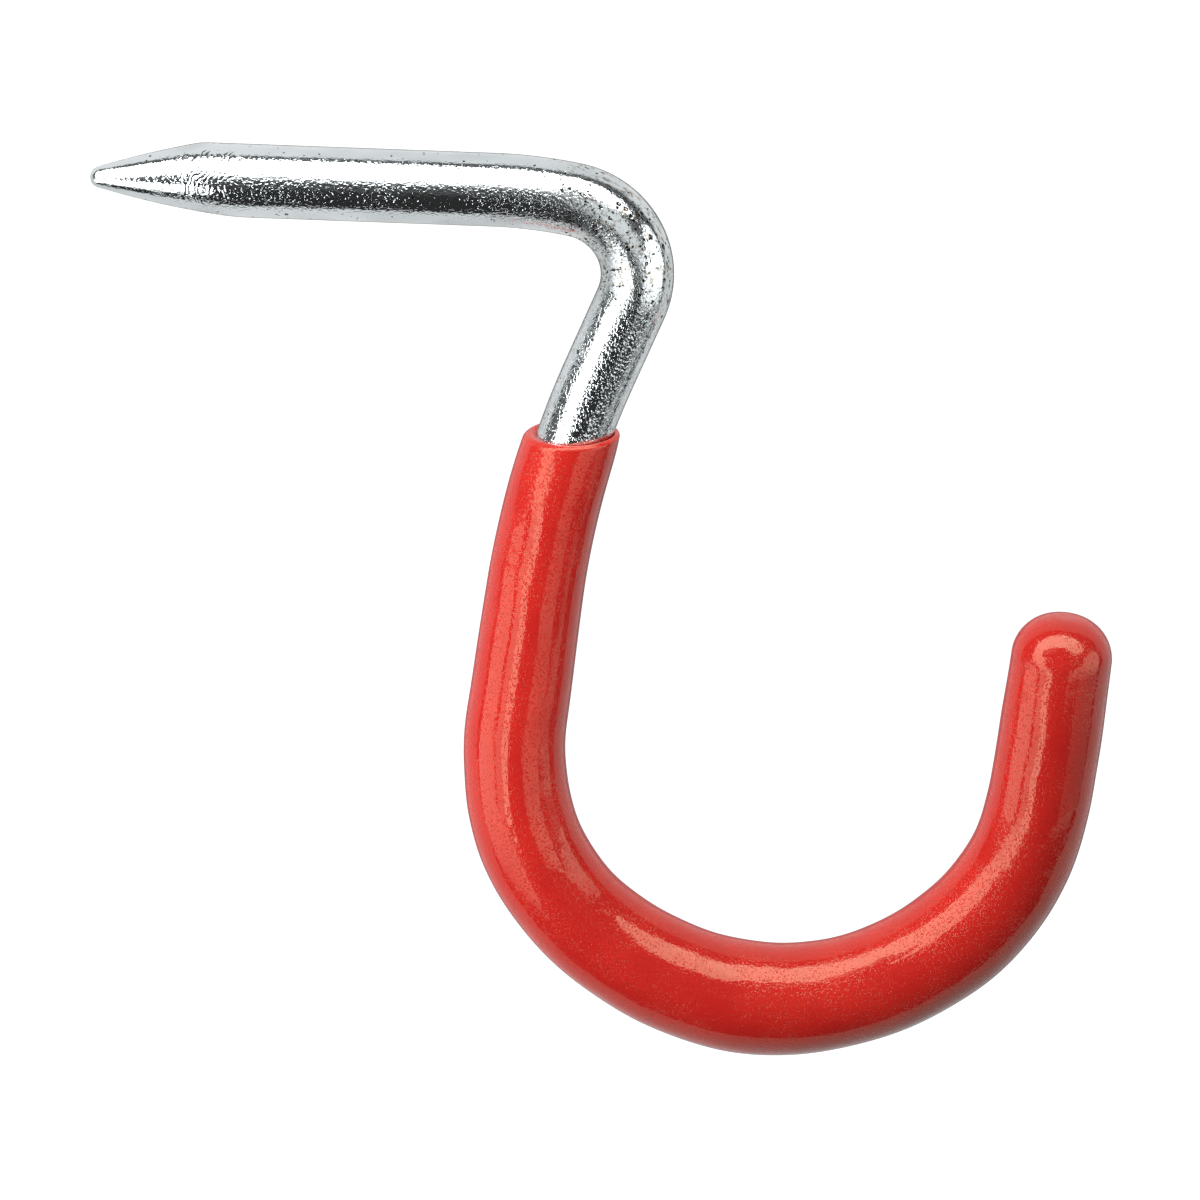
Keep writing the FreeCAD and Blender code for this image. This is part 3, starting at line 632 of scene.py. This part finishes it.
# %% Sheets of light and dark
def stage_sheet(name, points, faces, glow, colour="#000000"):
    """A matt sheet in metres that glows by a number of its own, or by one for each point."""
    mesh = bpy.data.meshes.new(name)
    mesh.from_pydata([tuple(point) for point in points], [], faces)
    mesh.attributes.new("glow", "FLOAT", "POINT").data.foreach_set("value", np.broadcast_to(glow, len(points)) * 1.0)
    sheet = bpy.data.objects.new(name, mesh)
    bpy.context.collection.objects.link(sheet)
    finish = bpy.data.materials.new(name)
    finish.use_nodes = True
    shader = finish.node_tree.nodes["Principled BSDF"]
    shader.inputs["Base Color"].default_value = linear(colour)
    shader.inputs["Roughness"].default_value = 0.9
    shader.inputs["Specular IOR Level"].default_value = 0.0
    shader.inputs["Emission Color"].default_value = linear("#FFFFFF")
    strength = add(finish.node_tree, "Attribute", attribute_name="glow").outputs["Fac"]
    finish.node_tree.links.new(strength, shader.inputs["Emission Strength"])
    mesh.materials.append(finish)
    print(f"{name}: glow {np.min(glow):.2f} to {np.max(glow):.2f}")
    return sheet


def for_reflections(sheet):
    """Hides a sheet from the camera, from matt surfaces and from shadows."""
    sheet.visible_camera = sheet.visible_diffuse = sheet.visible_shadow = False


# %% Curved sheets given by directions
HOOK_CENTRE = Vector((0.013, 0.0, -0.038))
FAR_SHEET = 0.9              # metres
ROWS_BETWEEN, WIDE = 4, 15   # steps from one given row to the next, and points across a row


def reflected_sheet(name, rows, distance=FAR_SHEET, centre=HOOK_CENTRE):
    """A curved sheet that only reflections see. Each row is an elevation, the azimuths it runs from and to, and its
    glow. In degrees as seen from the centre: azimuth 0 is towards the camera and positive to the right."""
    rows = np.array(rows, float)
    finer = np.linspace(0, len(rows) - 1, (len(rows) - 1) * ROWS_BETWEEN + 1)
    elevation, start, end, glow = (np.interp(finer, np.arange(len(rows)), column) for column in rows.T)
    a = np.radians(start[:, None] + (end - start)[:, None] * np.linspace(0, 1, WIDE))
    e = np.radians(elevation)[:, None] + 0 * a
    points = np.array(centre) + distance * np.stack([np.sin(a) * np.cos(e), -np.cos(a) * np.cos(e), np.sin(e)], -1)
    corners = [r * WIDE + c for r in range(len(finer) - 1) for c in range(WIDE - 1)]
    faces = [(i, i + 1, i + WIDE + 1, i + WIDE) for i in corners]
    for_reflections(stage_sheet(name, points.reshape(-1, 3), faces, np.repeat(glow, WIDE)))


# %% [markdown]
# The floor and the paper come next. A world can answer differently to different rays: reflections meet the paper, the
# table and the dark front of the room, matt vinyl gathers a soft sky, and the camera sees pure white. All of it goes by
# a ray's kind and its direction in the room, so it stays the same wherever the camera stands.

# %% Floor and surroundings
FLOOR_Z, FLOOR_HALF = -1.2, 14.0
FLOOR_CORNERS = [(x * FLOOR_HALF, y * FLOOR_HALF, FLOOR_Z) for x, y in ((-1, -1), (1, -1), (1, 1), (-1, 1))]
floor = stage_sheet("studio_floor", FLOOR_CORNERS, [(0, 1, 2, 3)], 0.72, "#F2F2F2")
floor.visible_diffuse = floor.visible_glossy = False
PAPER, TABLE, FRONT_HIGH, FRONT_LOW = 0.95, 0.84, 0.13, 0.04    # radiance that reflections see
SKY, GROUND, BEHIND = 0.41, 0.00, 0.60                          # radiance that matt surfaces see
world = bpy.data.worlds.new("studio")
bpy.context.scene.world = world
world.use_nodes = True
studio = world.node_tree
studio.nodes.clear()
direction = add(studio, "SeparateXYZ", (add(studio, "TexCoord").outputs["Generated"],))
backwards, upwards = direction.outputs[1], direction.outputs[2]
rays = add(studio, "LightPath")
dark_front = add(studio, "MapRange", (upwards, -0.2, 0.2, FRONT_LOW, FRONT_HIGH), **SOFT_STEP)
above = add(studio, "MapRange", (backwards, 0.20, 0.28, dark_front, PAPER), **SOFT_STEP)
mirrored = add(studio, "MapRange", (upwards, -0.14, -0.08, TABLE, above), **SOFT_STEP)
from_sky = add(studio, "MapRange", (upwards, -0.8, 0.8, GROUND, SKY), **SOFT_STEP)
from_behind = add(studio, "MapRange", (backwards, 0.1, 0.9, 0.0, BEHIND), **SOFT_STEP)
softly = add(studio, "Math", (from_sky, from_behind), operation="ADD")
for_glossy = add(studio, "Math", (rays.outputs["Is Glossy Ray"], mirrored), operation="MULTIPLY")
for_diffuse = add(studio, "Math", (rays.outputs["Is Diffuse Ray"], softly), operation="MULTIPLY")
for_surfaces = add(studio, "Math", (for_glossy, for_diffuse), operation="ADD")
strength = add(studio, "Math", (for_surfaces, rays.outputs["Is Camera Ray"]), operation="ADD")
backdrop = add(studio, "Background", {"Color": linear("#FFFFFF"), "Strength": strength})
add(studio, "OutputWorld", {"Surface": backdrop})
print("backdrop", PAPER, "front", FRONT_LOW, "to", FRONT_HIGH)

# %% [markdown]
# The boxes' edges are what the eye reads, so their rows follow where each band of light starts and stops on the
# photographed hook. The left arm of the big box ends in a narrow tongue that makes the thin bright line on the upright
# runs. The panel in front of the nail hangs close to it, so the nail mirrors it at eye level while the bottom of the
# hook, lower down, sees it only high up.

# %% Soft boxes
reflected_sheet("top_box", [(87, -82, 76, 6.3), (60, -82, 75, 6.3), (53, -82, 73, 6.3)])
reflected_sheet("top_box_left", [(53, -82, -17, 6.0), (44, -82, -20, 6.0), (36, -77, -29, 5.8), (28, -75, -33, 5.5),
                                 (12, -73, -36, 4.8), (0, -66, -37, 4.6), (-8, -50, -34, 4.4), (-13, -44, -30, 2.6),
                                 (-18, -43, -28, 2.0), (-26, -42, -24, 1.8)], 0.89)
reflected_sheet("left_tongue", [(-5, -40, -36, 4.8), (-10, -37, -26, 4.8), (-14, -33, -19, 4.8),
                                (-18, -29, -15, 4.8), (-26, -25, -13, 4.8)], 0.88)
reflected_sheet("top_box_right", [(53, 13, 73, 5.2), (42, 24, 71, 5.0), (33, 27, 66, 4.8), (30, 34, 54, 3.0)], 0.89)
reflected_sheet("left_box_low", [(-9, -86, -62, 2.7), (-13, -86, -52, 2.7), (-19, -86, -50, 2.7),
                                 (-25, -85, -44, 2.6), (-29, -85, -19, 2.5), (-36, -80, -22, 2.0),
                                 (-43, -74, -30, 1.0)], 0.85)
reflected_sheet("right_box", [(24, 72, 86, 1.7), (14, 57, 94, 2.5), (4, 48, 94, 2.5), (-4, 38, 92, 2.4),
                              (-12, 22, 88, 2.0), (-20, 17, 84, 1.5), (-24, 20, 82, 1.2), (-29, 52, 80, 0.8)], 0.85)
NAIL_MIDDLE, NEAR_NAIL = Vector((-0.012, 0.0, 0.0)), 0.13        # a point, and how far from it, in metres
reflected_sheet("nail_panel", [(57, -36, 20, 6.2), (36, -33, 18, 6.2), (33, -32, 17, 1.4), (29, -32, 17, 1.25),
                               (24, -30, 16, 0.50), (19, -29, 15, 0.12), (8, -27, 14, 0.06)],
                NEAR_NAIL, NAIL_MIDDLE)

# %% [markdown]
# Some bands belong to one part of the hook alone. A small card close to that part does it, because the rest of the
# hook mirrors a small near card in some other direction, or hardly at all. The lip gets a dark card with a grey panel
# to its right. Another dark card stands in the mouth of the J, edge-on to the camera. A white one leans in front of the
# bend, edge-on to the bottom of the J, and a pale one lies under the nail, so that its underside mirrors little red.

# %% Small cards close to the hook
LIP_MIDDLE, NEAR_LIP = Vector((0.052, 0.0, -0.046)), 0.045
reflected_sheet("lip_card", [(-13, 6, 38, 0.04), (-34, 6, 38, 0.04)], NEAR_LIP, LIP_MIDDLE)
reflected_sheet("lip_panel", [(-13, 38, 84, 0.55), (-34, 38, 84, 0.55)], NEAR_LIP, LIP_MIDDLE)
SMALL_CARDS = {              # corners in metres, then the glow
    "arm_card": ([(0.030, -0.0035, -0.044), (0.030, 0.0035, -0.044),
                  (0.030, 0.0035, -0.022), (0.030, -0.0035, -0.022)], 0.1),
    "bend_card": ([(0.010, -0.0342, -0.012), (0.034, -0.0342, -0.012),
                   (0.051, -0.0534, 0.028), (0.014, -0.0534, 0.028)], 1.0),
    "under_card": ([(-0.010, -0.006, -0.013), (0.003, -0.006, -0.013),
                    (0.003, 0.009, -0.013), (-0.010, 0.009, -0.013)], 0.75),
}
for name, (corners, glow) in SMALL_CARDS.items():
    for_reflections(stage_sheet(name, corners, [(0, 1, 2, 3)], glow))

# %% [markdown]
# The large cards hang beyond the boxes. The black one fills the room below the camera, the one on the left draws the
# dark line beside the left edges, and the one behind the hook darkens its outline, which the white paper would swallow.

# %% Large cards
reflected_sheet("black_card", [(-1, -100, 98, 0.04), (-12, -96, 96, 0.03), (-20, -94, 95, 0.03),
                               (-28, -88, 91, 0.03), (-34, -84, 74, 0.03), (-46, -84, 70, 0.03),
                               (-54, -76, 50, 0.03), (-67, -48, 34, 0.03)], 0.96)
reflected_sheet("left_card", [(12, -97, -70, 0.14), (0, -97, -62, 0.14), (-9, -95, -50, 0.20)], 0.92)
reflected_sheet("back_card", [(9, 152, 208, 0.60), (0, 149, 211, 0.32), (-25, 147, 213, 0.28), (-40, 150, 210, 0.60)])

# %% [markdown]
# The sheets only show in reflections, so the vinyl's own colour needs real lights: a near one high in front, whose
# light falls off towards the bottom of the J, a weaker one far to the left, and a small one low by the left of the J.
# They are kept out of reflections, which the sheets already fill.

# %% Soft light for the vinyl
def soft_box(name, centre, aim, width, height, radiance):
    """A rectangular light in metres that faces a point, as bright everywhere as radiance, left out of reflections."""
    data = bpy.data.lights.new(name, "AREA")
    data.shape, data.size, data.size_y = "RECTANGLE", width, height
    data.energy = radiance * math.pi * width * height
    light = bpy.data.objects.new(name, data)
    bpy.context.collection.objects.link(light)
    light.location = centre
    light.rotation_euler = (Vector(aim) - Vector(centre)).to_track_quat("-Z", "Y").to_euler()
    light.visible_camera = light.visible_glossy = False
    print(f"{name}: {data.energy:.2f} W")


soft_box("near_key", (0.0, -0.12, 0.115), (0.0, 0, 0.115), 0.30, 0.145, 3.05)
soft_box("left_fill", (-0.80, -0.20, -0.15), (0, -0.02, -0.05), 0.70, 0.70, 2.3)
soft_box("low_fill", (-0.03, -0.06, -0.065), (0, 0, -0.06), 0.04, 0.04, 3.6)

# %% [markdown]
# ## The camera
#
# The photograph looks down at the hook by about 20 degrees and is turned by 2 degrees, from far enough that the steel
# hardly narrows with distance. A long lens a metre away does that. The hook sits a little off the middle of the
# frame, so the camera is moved sideways and up by that much, and no lens shift is needed.

# %% Camera at the photograph's angle
FRAME_PX, PX_PER_MM, DISTANCE = 1200, 11.48, 1.0
ELEVATION, ROLL = math.radians(20), math.radians(2.11)
TARGET_PX = (616.57, 609.72)
camera = bpy.data.objects.new("camera", bpy.data.cameras.new("camera"))
bpy.context.collection.objects.link(camera)
camera.data.sensor_width = 36.0
camera.data.lens = PX_PER_MM * DISTANCE / MM / FRAME_PX * camera.data.sensor_width
camera.data.clip_start, camera.data.clip_end = 0.05, 60.0
toward = Vector((0, math.cos(ELEVATION), -math.sin(ELEVATION)))
turned = (toward.to_track_quat("-Z", "Y").to_matrix() @ Matrix.Rotation(ROLL, 3, "Z"))
left_px, up_px = TARGET_PX[0] - FRAME_PX / 2, TARGET_PX[1] - FRAME_PX / 2
slide = turned @ Vector((-left_px, up_px, 0)) * (MM / PX_PER_MM)
camera.matrix_world = Matrix.Translation(HOOK_CENTRE - toward * DISTANCE + slide) @ turned.to_4x4()
bpy.context.scene.camera = camera
bpy.context.scene.view_settings.view_transform = "Standard"
print("lens:", round(camera.data.lens, 1), "mm")
